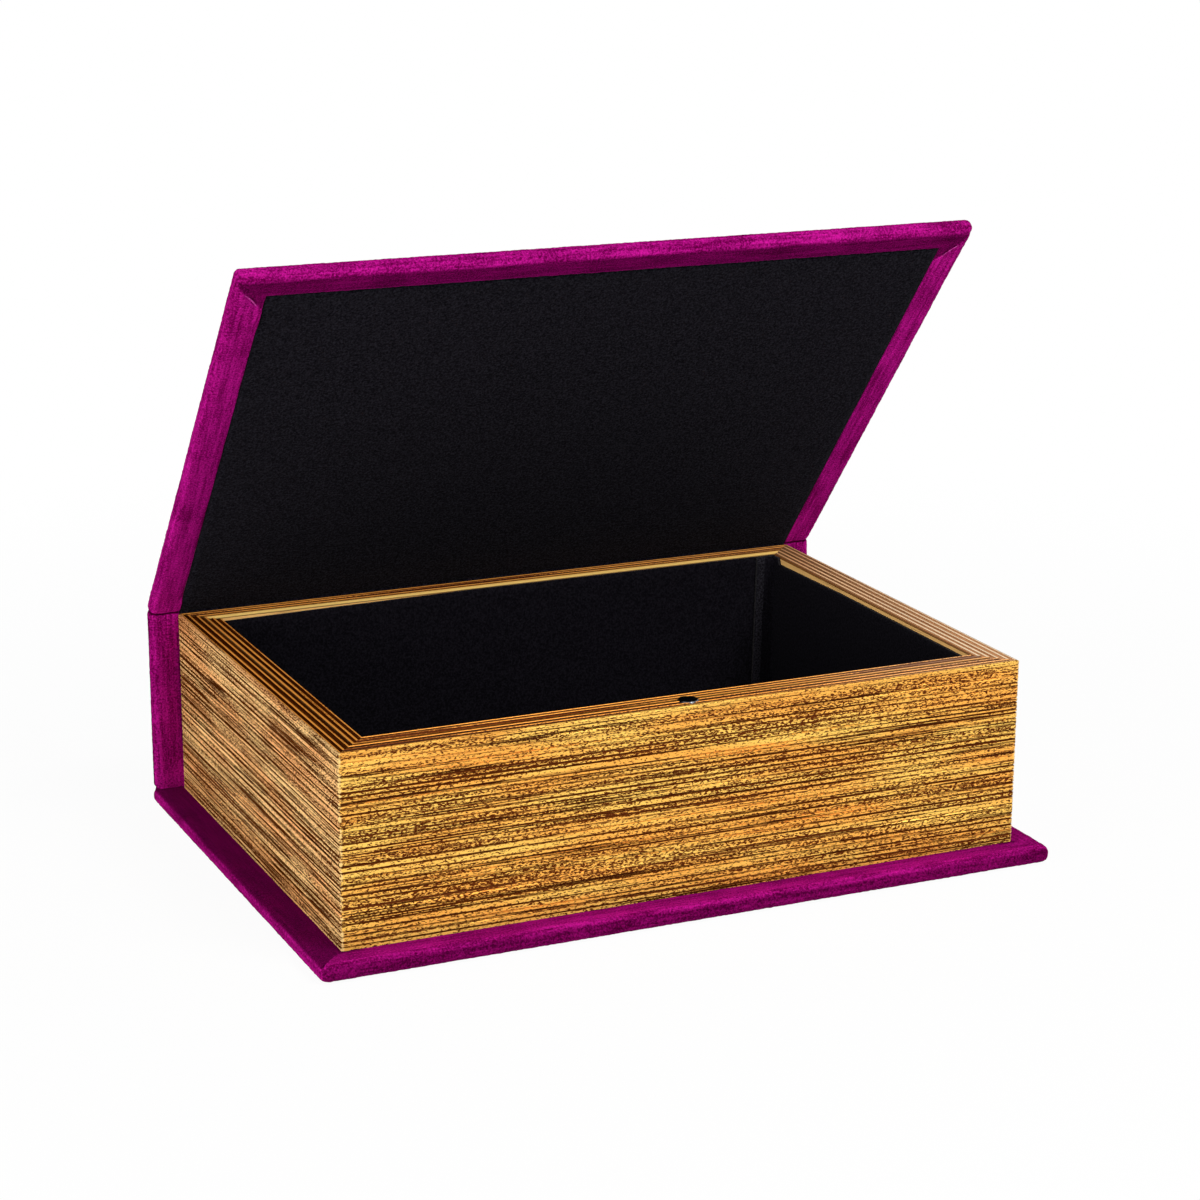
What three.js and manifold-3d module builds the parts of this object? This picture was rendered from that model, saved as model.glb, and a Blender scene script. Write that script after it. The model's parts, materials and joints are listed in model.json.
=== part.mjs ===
// Book-shaped trinket box: a velvet covered case of three boards, hinged by its own cloth,
// round a gilt tray whose grooved walls look like the edges of pages.
// Millimetres, +Z up. The front, with the magnet, faces -Y, and the spine is at +Y.
// The origin is on the table, under the middle of the back cover.

import * as THREE from 'three';
import { mergeVertices } from 'three/addons/utils/BufferGeometryUtils.js';
import Module from 'manifold-3d';

const wasm = await Module();
wasm.setup();

// The page block
const blockLength = 240;
const blockDepth = 165;
const blockHeight = 64;
const railThickness = 12;
const railEdgeRadius = 0.8;
const cornerEase = 0.6;
const mitreGap = 0.05;

// The grooves that stand for the pages. On the rim they are wide and flat, with thin ridges
// between them.
const pageGrooveCount = 34;
const pageGrooveDepth = 0.6;
const pageGrooveWidth = 0.8;
const rimGrooveCount = 5;
const rimGrooveDepth = 0.5;
const rimGrooveWidth = 1.9;
const rimGrooveSide = 0.25;
const leastLand = 0.25;

// The case
const boardThickness = 3;
const velvetThickness = 1.2;
const glueLine = 0.3;
const sideOverhang = 10;
const frontOverhang = 9.5;
const coverEdgeRadius = 2.8;
const coverCornerRadius = 3.2;
const baseTurnIn = 18;
const coverSideMargin = 10.9;
const lidFrontMargin = 8.7;

// The cloth hinge
const lidOpening = 50.6;
const hingeSetback = 0.4;
const hingeLift = 0.4;
const hingeGap = 2.5;

// Felt, floor and closure
const feltThickness = 1;
const liningDrop = 1.6;
const cornerFlapWidth = 8.5;
const cornerFlapReturn = 3;
const floorPanelThickness = 3;
const panelClearance = 0.3;
const contactGap = 0.05;
const magnetDiameter = 7;
const magnetThickness = 3;
const magnetEdge = 0.4;
const magnetRise = 0.1;
const magnetHoleClearance = 0.1;
const keeperDiameter = 10;
const keeperThickness = 1;

// The smallest radius an inner edge may shrink to
const leastRadius = 0.2;

// Sizes that follow from those above
const boardInset = velvetThickness + glueLine;
const coverThickness = boardThickness + 2 * boardInset;
const caseWidth = blockLength + 2 * sideOverhang;
const lidLength = frontOverhang + blockDepth + hingeSetback;
const caseDepth = lidLength + coverThickness;
const caseFront = -caseDepth / 2;
const caseBack = caseDepth / 2;
const blockFront = caseFront + frontOverhang;
const blockBack = blockFront + blockDepth;
const blockBottom = coverThickness + contactGap;
const rimHeight = blockBottom + blockHeight;
const hingeY = blockBack + hingeSetback;
const hingeZ = rimHeight + hingeLift;
const spineLength = hingeZ - coverThickness - glueLine;
const lidAngle = THREE.MathUtils.degToRad(lidOpening);
const liningHalfWidth = caseWidth / 2 - coverSideMargin;
const windowHalfWidth = liningHalfWidth + glueLine;
const feltRecess = velvetThickness - feltThickness;
const magnetY = blockFront + railThickness / 2;

const velvetFinish = { color: 0x76074e, roughness: 0.9, metalness: 0 };
const feltFinish = { color: 0x141416, roughness: 0.95, metalness: 0 };
const giltFinish = { color: 0xb9853c, roughness: 0.45, metalness: 0.55 };
const boardFinish = { color: 0x9a7f5c, roughness: 0.85, metalness: 0 };
const magnetFinish = { color: 0x5b6066, roughness: 0.3, metalness: 0.9 };

// Solids and meshes

function toSolid(geometry) {
  const bare = geometry.clone();
  bare.deleteAttribute('normal');
  bare.deleteAttribute('uv');
  const merged = mergeVertices(bare, 1e-4);
  const corners = merged.index.array;
  const triangles = [];
  for (let first = 0; first < corners.length; first += 3) {
    const [a, b, c] = corners.slice(first, first + 3);
    if (a !== b && b !== c && c !== a) {
      triangles.push(a, b, c);
    }
  }
  return new wasm.Manifold(new wasm.Mesh({
    numProp: 3,
    vertProperties: new Float32Array(merged.attributes.position.array),
    triVerts: new Uint32Array(triangles),
  }));
}

function toGeometry(solid) {
  const mesh = solid.getMesh();
  const geometry = new THREE.BufferGeometry();
  geometry.setAttribute('position', new THREE.BufferAttribute(mesh.vertProperties, 3));
  geometry.setIndex(new THREE.BufferAttribute(mesh.triVerts, 1));
  geometry.computeVertexNormals();
  return geometry;
}

function namedMesh(name, geometry, finish) {
  const mesh = new THREE.Mesh(geometry, new THREE.MeshStandardMaterial(finish));
  mesh.name = name;
  return mesh;
}

function boxBetween(low, high) {
  const size = high.map((value, axis) => value - low[axis]);
  const middle = high.map((value, axis) => (value + low[axis]) / 2);
  return new THREE.BoxGeometry(...size).translate(...middle);
}

function discBetween(radius, bottom, top) {
  const geometry = new THREE.CylinderGeometry(radius, radius, top - bottom, 32);
  return geometry.rotateX(Math.PI / 2).translate(0, 0, (top + bottom) / 2);
}

function roundedRectangle(left, bottom, right, top, radius) {
  const shape = new THREE.Shape();
  shape.moveTo(left + radius, bottom);
  shape.lineTo(right - radius, bottom);
  shape.absarc(right - radius, bottom + radius, radius, -Math.PI / 2, 0);
  shape.lineTo(right, top - radius);
  shape.absarc(right - radius, top - radius, radius, 0, Math.PI / 2);
  shape.lineTo(left + radius, top);
  shape.absarc(left + radius, top - radius, radius, Math.PI / 2, Math.PI);
  shape.lineTo(left, bottom + radius);
  shape.absarc(left + radius, bottom + radius, radius, Math.PI, 1.5 * Math.PI);
  return shape;
}

// Page block

// A number between 0 and 1 that looks random but is the same each time
function scatter(index, salt) {
  const value = Math.sin(index * 12.9898 + salt * 78.233) * 43758.5453;
  return value - Math.floor(value);
}

// Grooves side by side over a length, each with its own place, width and depth. Each keeps
// to its share of the length, which leaves a flat land of leastLand or more to the next.
function groovesOver(length, count, width, depth, salt) {
  const pitch = length / count;
  const widest = Math.min(width, pitch - leastLand);
  const stray = pitch - widest - leastLand;
  const grooves = [];
  for (let index = 0; index < count; index += 1) {
    const middle = pitch * (index + 0.5) + stray * (scatter(index, salt) - 0.5);
    const half = 0.5 * widest * (0.7 + 0.3 * scatter(index, salt + 1));
    grooves.push({
      start: middle - half,
      middle,
      end: middle + half,
      depth: depth * (0.45 + 0.55 * scatter(index, salt + 2)),
    });
  }
  return grooves;
}

// The moulding that the four walls are cut from: x is the distance in from the outer face,
// y the height. The outer face and the rim are grooved, and the edge between them is eased.
function railProfile() {
  const shoulder = blockHeight - railEdgeRadius;
  const rimFlat = railThickness - railEdgeRadius;
  const profile = new THREE.Shape();
  profile.moveTo(railThickness, 0);
  profile.lineTo(railThickness, blockHeight);
  for (const groove of groovesOver(rimFlat, rimGrooveCount, rimGrooveWidth, rimGrooveDepth, 11)) {
    const floor = blockHeight - groove.depth;
    profile.lineTo(railThickness - groove.start, blockHeight);
    profile.lineTo(railThickness - groove.start - rimGrooveSide, floor);
    profile.lineTo(railThickness - groove.end + rimGrooveSide, floor);
    profile.lineTo(railThickness - groove.end, blockHeight);
  }
  profile.lineTo(railEdgeRadius, blockHeight);
  profile.absarc(railEdgeRadius, shoulder, railEdgeRadius, Math.PI / 2, Math.PI);
  for (const groove of groovesOver(shoulder, pageGrooveCount, pageGrooveWidth, pageGrooveDepth, 3)) {
    profile.lineTo(0, shoulder - groove.start);
    profile.lineTo(groove.depth, shoulder - groove.middle);
    profile.lineTo(0, shoulder - groove.end);
  }
  profile.lineTo(0, 0);
  return profile;
}

// One wall of the tray, along X, with its outer face at y = 0. Each point of the two ends
// is drawn in by its own distance from the outer face, which makes the mitres.
function mitredRail(length) {
  const geometry = new THREE.ExtrudeGeometry(railProfile(), {
    depth: 1,
    bevelEnabled: false,
    curveSegments: 4,
  });
  const position = geometry.attributes.position;
  for (let index = 0; index < position.count; index += 1) {
    const inset = position.getX(index);
    const height = position.getY(index);
    const side = position.getZ(index) > 0.5 ? 1 : -1;
    position.setXYZ(index, side * (length / 2 - inset - mitreGap), inset, height);
  }
  return geometry;
}

// A prism that holds all of a wall but its two sharp upright corners, which its slanted
// sides take off
function withoutCorners(length) {
  const half = (inset) => length / 2 - cornerEase + inset;
  const near = -cornerEase;
  const far = railThickness + cornerEase;
  const plan = new THREE.Shape([
    new THREE.Vector2(-half(near), near),
    new THREE.Vector2(half(near), near),
    new THREE.Vector2(half(far), far),
    new THREE.Vector2(-half(far), far),
  ]);
  const geometry = new THREE.ExtrudeGeometry(plan, {
    depth: blockHeight + 2 * cornerEase,
    bevelEnabled: false,
  });
  return geometry.translate(0, 0, -cornerEase);
}

function easedRail(length) {
  return toSolid(mitredRail(length)).intersect(toSolid(withoutCorners(length)));
}

function frontRail() {
  const seat = blockHeight + magnetRise - magnetThickness - glueLine;
  const bore = discBetween(magnetDiameter / 2 + magnetHoleClearance, seat, blockHeight + 1);
  bore.translate(0, railThickness / 2, 0);
  return toGeometry(easedRail(blockLength).subtract(toSolid(bore)));
}

function pageBlock() {
  const block = new THREE.Group();
  const middleY = (blockFront + blockBack) / 2;
  const addWall = (name, geometry, x, y, turn) => {
    const mesh = namedMesh(name, geometry, giltFinish);
    mesh.position.set(x, y, blockBottom);
    mesh.rotation.z = turn;
    block.add(mesh);
  };
  addWall('front_wall', frontRail(), 0, blockFront, 0);
  addWall('back_wall', toGeometry(easedRail(blockLength)), 0, blockBack, Math.PI);
  const sideRail = toGeometry(easedRail(blockDepth));
  addWall('right_wall', sideRail, blockLength / 2, middleY, Math.PI / 2);
  addWall('left_wall', sideRail, -blockLength / 2, middleY, -Math.PI / 2);

  const magnet = namedMesh('rim_magnet', magnetDisc(), magnetFinish);
  magnet.position.set(0, magnetY, rimHeight + magnetRise);
  block.add(magnet);
  return block;
}

// The magnet, hanging down from its top face at z = 0, with the upper edge bevelled
function magnetDisc() {
  const radius = magnetDiameter / 2;
  const geometry = new THREE.LatheGeometry([
    new THREE.Vector2(0, -magnetThickness),
    new THREE.Vector2(radius, -magnetThickness),
    new THREE.Vector2(radius, -magnetEdge),
    new THREE.Vector2(radius - magnetEdge, 0),
    new THREE.Vector2(0, 0),
  ], 32);
  return geometry.rotateX(Math.PI / 2);
}

// Floor panel and felt of the tray

const wellHalf = blockLength / 2 - railThickness;
const wellFront = blockFront + railThickness;
const wellBack = blockBack - railThickness;
const panelBottom = coverThickness - boardInset + glueLine;
const panelTop = panelBottom + floorPanelThickness;
const feltBottom = panelTop + contactGap;
const feltTop = rimHeight - liningDrop;
const backFeltTop = rimHeight - glueLine;
const feltOuter = contactGap;
const feltInner = contactGap + feltThickness;
const sideFeltFront = wellFront + feltInner + contactGap;
const sideFeltBack = wellBack - feltInner - contactGap;

// The felt of the right-hand wall turns the back corner and laps over the felt of the back wall.
// There it stands up to the rim, as the felt of the back wall does.
function rightFelt() {
  const inner = wellHalf - feltInner;
  const outer = wellHalf - feltOuter;
  const flapFront = sideFeltBack - feltThickness;
  const wall = boxBetween([inner, sideFeltFront, feltBottom], [outer, sideFeltBack, feltTop]);
  const corner = boxBetween(
    [inner, sideFeltBack - cornerFlapReturn, feltBottom],
    [outer, sideFeltBack, backFeltTop],
  );
  const flap = boxBetween(
    [inner - cornerFlapWidth, flapFront, feltBottom],
    [outer, sideFeltBack, backFeltTop],
  );
  return toGeometry(toSolid(wall).add(toSolid(corner)).add(toSolid(flap)));
}

function trayInside() {
  const inside = new THREE.Group();
  const addFelt = (name, geometry) => inside.add(namedMesh(name, geometry, feltFinish));
  const panel = boxBetween(
    [-wellHalf + panelClearance, wellFront + panelClearance, panelBottom],
    [wellHalf - panelClearance, wellBack - panelClearance, panelTop],
  );
  inside.add(namedMesh('tray_floor', panel, boardFinish));
  addFelt('front_felt', boxBetween(
    [-wellHalf + feltOuter, wellFront + feltOuter, feltBottom],
    [wellHalf - feltOuter, wellFront + feltInner, feltTop],
  ));
  addFelt('back_felt', boxBetween(
    [-wellHalf + feltOuter, wellBack - feltInner, feltBottom],
    [wellHalf - feltOuter, wellBack - feltOuter, backFeltTop],
  ));
  addFelt('left_felt', boxBetween(
    [-wellHalf + feltOuter, sideFeltFront, feltBottom],
    [-wellHalf + feltInner, sideFeltBack, feltTop],
  ));
  addFelt('right_felt', rightFelt());
  addFelt('floor_felt', boxBetween(
    [-wellHalf + feltInner + contactGap, sideFeltFront, feltBottom],
    [
      wellHalf - feltInner - contactGap,
      sideFeltBack - feltThickness - contactGap,
      feltBottom + feltThickness,
    ],
  ));
  return inside;
}

// Case. A cover lies with its inner face at z = 0 and its outer face at z = coverThickness.
// The lid and the spine run from y = 0, the hinge line, to their free edge at -length.

// The radius along the edges of a plate that lies inset below the cover's outside
function edgeRadiusFor(inset) {
  const thickness = coverThickness - 2 * inset;
  return Math.max(Math.min(coverEdgeRadius - inset, 0.45 * thickness), leastRadius);
}

function roundedPlate(width, nearY, farY, inset) {
  const innerZ = inset;
  const outerZ = coverThickness - inset;
  const edge = edgeRadiusFor(inset);
  const corner = Math.max(coverCornerRadius - inset - edge, leastRadius);
  const half = width / 2 - inset - edge;
  const plan = roundedRectangle(
    -half, nearY + inset + edge, half, farY - inset - edge, corner,
  );
  const geometry = new THREE.ExtrudeGeometry(plan, {
    depth: outerZ - innerZ - 2 * edge,
    bevelThickness: edge,
    bevelSize: edge,
    bevelSegments: 5,
    curveSegments: 5,
  });
  return geometry.translate(0, 0, innerZ + edge);
}

// The velvet of one cover: a skin that wraps its board and is turned in round the edges,
// with an opening in its inner face that shows the board.
function velvetSkin(nearY, farY, opening) {
  const outside = toSolid(roundedPlate(caseWidth, nearY, farY, 0));
  const boardSpace = toSolid(roundedPlate(caseWidth, nearY, farY, velvetThickness));
  const window = toSolid(boxBetween(
    [-opening.halfWidth, opening.nearY, -coverThickness],
    [opening.halfWidth, opening.farY, coverThickness / 2],
  ));
  return outside.subtract(boardSpace).subtract(window);
}

// On the lid and the spine the velvet goes on into the hinge, so its skin is cut off flat
// short of the hinge line.
function hingedSkin(length, nearMargin) {
  const beyond = 2 * coverThickness;
  const skin = velvetSkin(-length, beyond, {
    halfWidth: windowHalfWidth,
    nearY: -length + nearMargin,
    farY: 2 * beyond,
  });
  const offcut = boxBetween(
    [-caseWidth, -hingeGap, -beyond],
    [caseWidth, 2 * beyond, 2 * beyond],
  );
  return toGeometry(skin.subtract(toSolid(offcut)));
}

function hingedBoard(length) {
  return roundedPlate(caseWidth, -length, -hingeGap + boardInset, boardInset);
}

function backCover() {
  const cover = new THREE.Group();
  const skin = velvetSkin(caseFront, caseBack, {
    halfWidth: caseWidth / 2 - baseTurnIn,
    nearY: caseFront + baseTurnIn,
    farY: caseBack - baseTurnIn,
  });
  const board = roundedPlate(caseWidth, caseFront, caseBack, boardInset);
  cover.add(namedMesh('base_velvet', toGeometry(skin), velvetFinish));
  cover.add(namedMesh('base_board', board, boardFinish));
  cover.position.z = coverThickness;
  cover.rotation.x = Math.PI;
  return cover;
}

function spineCover() {
  const cover = new THREE.Group();
  cover.add(namedMesh('spine_velvet', hingedSkin(spineLength, lidFrontMargin), velvetFinish));
  cover.add(namedMesh('spine_board', hingedBoard(spineLength), boardFinish));
  cover.position.set(0, hingeY, hingeZ);
  cover.rotation.set(-Math.PI / 2, 0, Math.PI);
  return cover;
}

function lidCover() {
  const cover = new THREE.Group();
  const velvet = hingedSkin(lidLength, lidFrontMargin - glueLine);
  cover.add(namedMesh('lid_velvet', velvet, velvetFinish));

  const keeperY = magnetY - hingeY;
  const keeperBottom = boardInset + contactGap;
  const keeperTop = keeperBottom + keeperThickness;
  const pocket = discBetween(keeperDiameter / 2 + glueLine, 0, keeperTop + glueLine);
  pocket.translate(0, keeperY, 0);
  const board = toSolid(hingedBoard(lidLength)).subtract(toSolid(pocket));
  cover.add(namedMesh('lid_board', toGeometry(board), boardFinish));

  const disc = discBetween(keeperDiameter / 2, keeperBottom, keeperTop);
  const keeper = namedMesh('lid_keeper', disc, magnetFinish);
  keeper.position.y = keeperY;
  cover.add(keeper);

  const lining = boxBetween(
    [-liningHalfWidth, -lidLength + lidFrontMargin, feltRecess],
    [liningHalfWidth, -hingeGap, feltRecess + feltThickness],
  );
  cover.add(namedMesh('lid_lining', lining, feltFinish));
  cover.position.set(0, hingeY, hingeZ);
  cover.rotation.x = -lidAngle;
  return cover;
}

// Hinge. The hinge line is the crease where the inner faces of the lid and the spine meet,
// and runs along X through the origin of the shapes below. The velvet goes on from both
// covers in a short leg, and turns round the line between them.

const legLength = hingeGap - glueLine;
const legOverlap = 0.05;
const towardsLid = new THREE.Vector2(-Math.cos(lidAngle), Math.sin(lidAngle));
const outOfLid = new THREE.Vector2(Math.sin(lidAngle), Math.cos(lidAngle));
const outOfSpine = new THREE.Vector2(1, 0);
const outOfCrease = outOfLid.clone().add(outOfSpine).normalize();

// A shape drawn in y and z, made as long as halfWidth each way along X
function alongHinge(shape, halfWidth) {
  const geometry = new THREE.ExtrudeGeometry(shape, {
    depth: 2 * halfWidth,
    bevelEnabled: false,
    curveSegments: 5,
  });
  const yToX = new THREE.Matrix4().makeBasis(
    new THREE.Vector3(0, 1, 0),
    new THREE.Vector3(0, 0, 1),
    new THREE.Vector3(1, 0, 0),
  );
  return geometry.translate(0, 0, -halfWidth).applyMatrix4(yToX);
}

function coverSection(inset) {
  const half = caseWidth / 2 - inset;
  const edge = edgeRadiusFor(inset);
  return roundedRectangle(-half, inset, half, coverThickness - inset, edge);
}

function hingeLeg(inset, length, towardsSpine) {
  const leg = new THREE.ExtrudeGeometry(coverSection(inset), {
    depth: length + legOverlap,
    bevelEnabled: false,
    curveSegments: 5,
  });
  leg.translate(0, 0, -legOverlap).rotateX(Math.PI / 2);
  if (towardsSpine) {
    leg.rotateZ(Math.PI).rotateX(-Math.PI / 2);
  } else {
    leg.rotateX(-lidAngle);
  }
  return toSolid(leg);
}

function hingeTurn(inset) {
  const section = coverSection(inset).getPoints(5);
  const points = section.slice(inset > 0 ? 0 : 1).map((at) => new THREE.Vector2(at.y, at.x));
  const barrel = new THREE.LatheGeometry(points.reverse(), 48).rotateZ(-Math.PI / 2);
  const reach = 4 * coverThickness;
  const wedge = new THREE.Shape([
    new THREE.Vector2(0, 0),
    outOfSpine.clone().multiplyScalar(reach),
    outOfCrease.clone().multiplyScalar(reach),
    outOfLid.clone().multiplyScalar(reach),
  ]);
  return toSolid(barrel).intersect(toSolid(alongHinge(wedge, caseWidth)));
}

function hingeBody(inset, length) {
  const legs = hingeLeg(inset, length, true).add(hingeLeg(inset, length, false));
  return legs.add(hingeTurn(inset));
}

function hingeVelvet() {
  const window = discBetween(coverThickness / 2, -windowHalfWidth, windowHalfWidth);
  const skin = hingeBody(0, legLength)
    .subtract(hingeBody(velvetThickness, 2 * legLength))
    .subtract(toSolid(window.rotateY(Math.PI / 2)));
  return toGeometry(skin);
}

// The felt of the lid goes on over the crease and down the inside of the spine
function hingeLining() {
  const spread = Math.sqrt((1 + outOfLid.dot(outOfSpine)) / 2);
  const lidEnd = towardsLid.clone().multiplyScalar(legLength);
  const foot = -spineLength + lidFrontMargin + glueLine;
  const face = (depth) => [
    new THREE.Vector2(depth, foot),
    outOfCrease.clone().multiplyScalar(depth / spread),
    lidEnd.clone().addScaledVector(outOfLid, depth),
  ];
  const outline = face(feltRecess + feltThickness).concat(face(feltRecess).reverse());
  return alongHinge(new THREE.Shape(outline), liningHalfWidth);
}

function hingeCloth() {
  const cloth = new THREE.Group();
  cloth.add(namedMesh('hinge_velvet', hingeVelvet(), velvetFinish));
  cloth.add(namedMesh('hinge_lining', hingeLining(), feltFinish));
  cloth.position.set(0, hingeY, hingeZ);
  return cloth;
}

const box = new THREE.Group();
box.name = 'book_box';
box.add(backCover(), spineCover(), hingeCloth(), pageBlock(), trayInside(), lidCover());

export default box;
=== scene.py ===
import json
import math
from functools import reduce

import bpy
import numpy as np
from mathutils import Matrix, Vector, noise


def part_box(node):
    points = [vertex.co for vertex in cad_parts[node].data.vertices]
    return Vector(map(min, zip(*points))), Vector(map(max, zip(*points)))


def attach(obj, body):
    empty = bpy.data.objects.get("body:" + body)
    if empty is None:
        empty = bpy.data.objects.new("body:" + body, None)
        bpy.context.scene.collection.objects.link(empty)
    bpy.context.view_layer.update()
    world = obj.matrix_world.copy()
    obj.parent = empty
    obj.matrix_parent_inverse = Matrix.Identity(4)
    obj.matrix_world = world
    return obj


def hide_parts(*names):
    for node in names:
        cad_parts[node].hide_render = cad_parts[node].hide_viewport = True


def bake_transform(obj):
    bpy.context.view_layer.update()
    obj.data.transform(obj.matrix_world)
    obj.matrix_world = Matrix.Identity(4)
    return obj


mm = 0.001
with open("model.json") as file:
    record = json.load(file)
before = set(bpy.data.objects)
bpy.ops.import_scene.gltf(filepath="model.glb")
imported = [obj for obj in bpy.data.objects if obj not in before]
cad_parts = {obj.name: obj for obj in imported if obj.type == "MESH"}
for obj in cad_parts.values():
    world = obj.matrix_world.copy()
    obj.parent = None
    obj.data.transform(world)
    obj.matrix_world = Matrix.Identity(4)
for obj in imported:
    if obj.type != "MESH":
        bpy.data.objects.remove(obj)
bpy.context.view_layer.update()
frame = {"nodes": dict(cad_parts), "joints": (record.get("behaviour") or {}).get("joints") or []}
nodes = frame["nodes"]
print("frame loaded:", len(nodes), "nodes")


# Sizes taken from the frame

baseLow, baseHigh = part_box("base_velvet")
lidJoint = frame["joints"][0]
crease = Vector(lidJoint["pos_m"])  # the line where the insides of lid and spine meet
lidOpening = -math.radians(lidJoint["range_deg"][0])  # from shut to the photographed pose
coverThickness = baseHigh.z - baseLow.z
halfWidth = baseHigh.x
lidLength = crease.y - baseLow.y
spineLength = crease.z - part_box("spine_velvet")[0].z
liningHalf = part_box("lid_lining")[1].x


# Meshes

def smoothStep(value, low, high):
    share = np.clip((value - low) / (high - low), 0.0, 1.0)
    return share * share * (3 - 2 * share)


def peak(value, width):  # 1 at 0, and soon down to 0 on both sides
    return np.exp(-((value / width) ** 2))


seedStep = (7.31, 3.17, 5.93)  # between the noise of two seeds


def noiseAt(points, scale, seed):
    shift = Vector([seed * step for step in seedStep])
    return np.array([noise.noise(Vector(p) * scale + shift) for p in points])


def makePiece(name, points, faces, material):
    mesh = bpy.data.meshes.new(name)
    mesh.from_pydata([tuple(p) for p in points], [], faces)
    mesh.validate()
    mesh.polygons.foreach_set("use_smooth", [True] * len(mesh.polygons))
    mesh.materials.append(material)
    piece = bpy.data.objects.new(name, mesh)
    bpy.context.scene.collection.objects.link(piece)
    return piece


def gridFaces(columns, rows):
    return [
        (i * rows + j, (i + 1) * rows + j, (i + 1) * rows + j + 1, i * rows + j + 1)
        for i in range(columns - 1) for j in range(rows - 1)
    ]


def giveThickness(piece, thickness):  # the cloth goes inward from the modelled side
    shell = piece.modifiers.new("cloth", "SOLIDIFY")
    shell.thickness = thickness
    shell.offset = -1
    shell.material_offset_rim = len(piece.data.materials) - 1
    shell.use_even_offset = False
    settled = piece.evaluated_get(bpy.context.evaluated_depsgraph_get())
    mesh = bpy.data.meshes.new_from_object(settled)
    piece.modifiers.clear()
    piece.data = mesh


# Colours are written as they look on screen, 0 to 255

def paint(red, green, blue):
    def linear(value):
        value /= 255
        return value / 12.92 if value <= 0.04045 else ((value + 0.055) / 1.055) ** 2.4
    return (linear(red), linear(green), linear(blue), 1.0)


class Nodes:
    def __init__(self, tree):
        self.tree = tree

    def add(self, kind, **settings):
        node = self.tree.nodes.new(kind)
        for key, value in settings.items():
            setattr(node, key, value)
        return node

    def link(self, source, target):
        self.tree.links.new(source, target)

    def put(self, value, socket):  # fixed, or what another node gives
        if isinstance(value, (int, float, tuple)):
            socket.default_value = value
        else:
            self.link(value, socket)

    def fill(self, node, **values):
        for name, value in values.items():
            self.put(value, node.inputs[name.replace("_", " ")])
        return node

    def band(self, value, low, high, start=0.0, end=1.0):
        ramp = self.add("ShaderNodeMapRange", clamp=True, interpolation_type="SMOOTHSTEP")
        self.fill(ramp, Value=value, From_Min=low, From_Max=high, To_Min=start, To_Max=end)
        return ramp.outputs["Result"]

    def maths(self, operation, *values):
        node = self.add("ShaderNodeMath", operation=operation)
        for value, socket in zip(values, node.inputs):
            self.put(value, socket)
        return node.outputs["Value"]

    def plus(self, first, second):
        return self.maths("ADD", first, second)

    def times(self, *values):
        return reduce(lambda first, second: self.maths("MULTIPLY", first, second), values)

    def most(self, *values):
        return reduce(lambda first, second: self.maths("MAXIMUM", first, second), values)

    def less(self, value):  # what the value leaves of 1
        return self.maths("SUBTRACT", 1.0, value)

    def weighted(self, *parts):  # adds up values, each times its share
        return reduce(self.plus, [self.times(value, share) for value, share in parts])

    def mix(self, share, first, second, kind="RGBA"):
        node = self.add("ShaderNodeMix", data_type=kind)
        return self.fill(node, Factor=share, A=first, B=second).outputs["Result"]

    def seenDirectly(self):  # 1 where the camera or a mirror looks, 0 where only light does
        seen = self.add("ShaderNodeLightPath").outputs
        return self.most(*(seen[f"Is {kind} Ray"] for kind in ("Camera", "Glossy", "Transmission")))


class Finish(Nodes):
    def __init__(self, name):
        self.material = bpy.data.materials.new(name)
        self.material.use_nodes = True
        super().__init__(self.material.node_tree)
        self.shader = self.tree.nodes["Principled BSDF"]
        self.place = self.add("ShaderNodeTexCoord").outputs["Object"]

    def onCloth(self, name):  # a place or a number that the cloth's own mesh carries
        return self.add("ShaderNodeAttribute", attribute_name=name)

    def split(self, vector):
        parts = self.fill(self.add("ShaderNodeSeparateXYZ"), Vector=vector).outputs
        return {axis: parts[axis.upper()] for axis in "xyz"}

    def grain(self, scale, detail=2.0, roughness=0.5, distortion=0.0, place=None):
        scaled = self.fill(self.add("ShaderNodeMapping"), Scale=scale, Vector=place or self.place)
        texture = self.add("ShaderNodeTexNoise")
        self.fill(texture, Scale=1.0, Detail=detail, Roughness=roughness, Distortion=distortion)
        return self.fill(texture, Vector=scaled.outputs["Vector"]).outputs["Fac"]

    def bump(self, height, depth, **before):
        node = self.add("ShaderNodeBump")
        return self.fill(node, Distance=depth, Height=height, **before).outputs["Normal"]

    def shade(self, **values):
        self.fill(self.shader, **values)
        return self.material


# Velvet

velvetLook = {
    "towards": (paint(90, 0, 56), paint(212, 26, 158)),  # hollows and tips, painted as lit, pile towards the light
    "away": (paint(26, 0, 14), paint(92, 0, 56)),  # the same painted in shade, pile turned away from the light
    "folded": paint(48, 0, 32),  # painted shade at the bottom of the hinge's crease
    "creaseShadeNap": (-0.6, -0.1),
    "sheenTint": paint(255, 40, 190),
    "sheen": 0.3,
    "sheenRoughness": 0.4,
    "roughness": 0.9,
    "tuftsPerMetre": 1500,
    "streaks": (45, 750, 750),  # per metre along an edge, in from it, and through the cover
    "outerStreaks": (520, 60, 520),
    "outerDepth": (4.2 * mm, 5.2 * mm),  # where a cover's outer streaks take over
    "outerSpread": (0.25, 0.75),
    "brushedPerMetre": 60,
    "shares": {"tufts": 0.54, "streaks": 0.30, "brushed": 0.16},
    "pileDepth": 0.0005,
    "darkest": 0.39,
    "lightest": 0.66,
}
cutLook = {**velvetLook, "towards": (paint(150, 12, 110), paint(225, 90, 185))}


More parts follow.
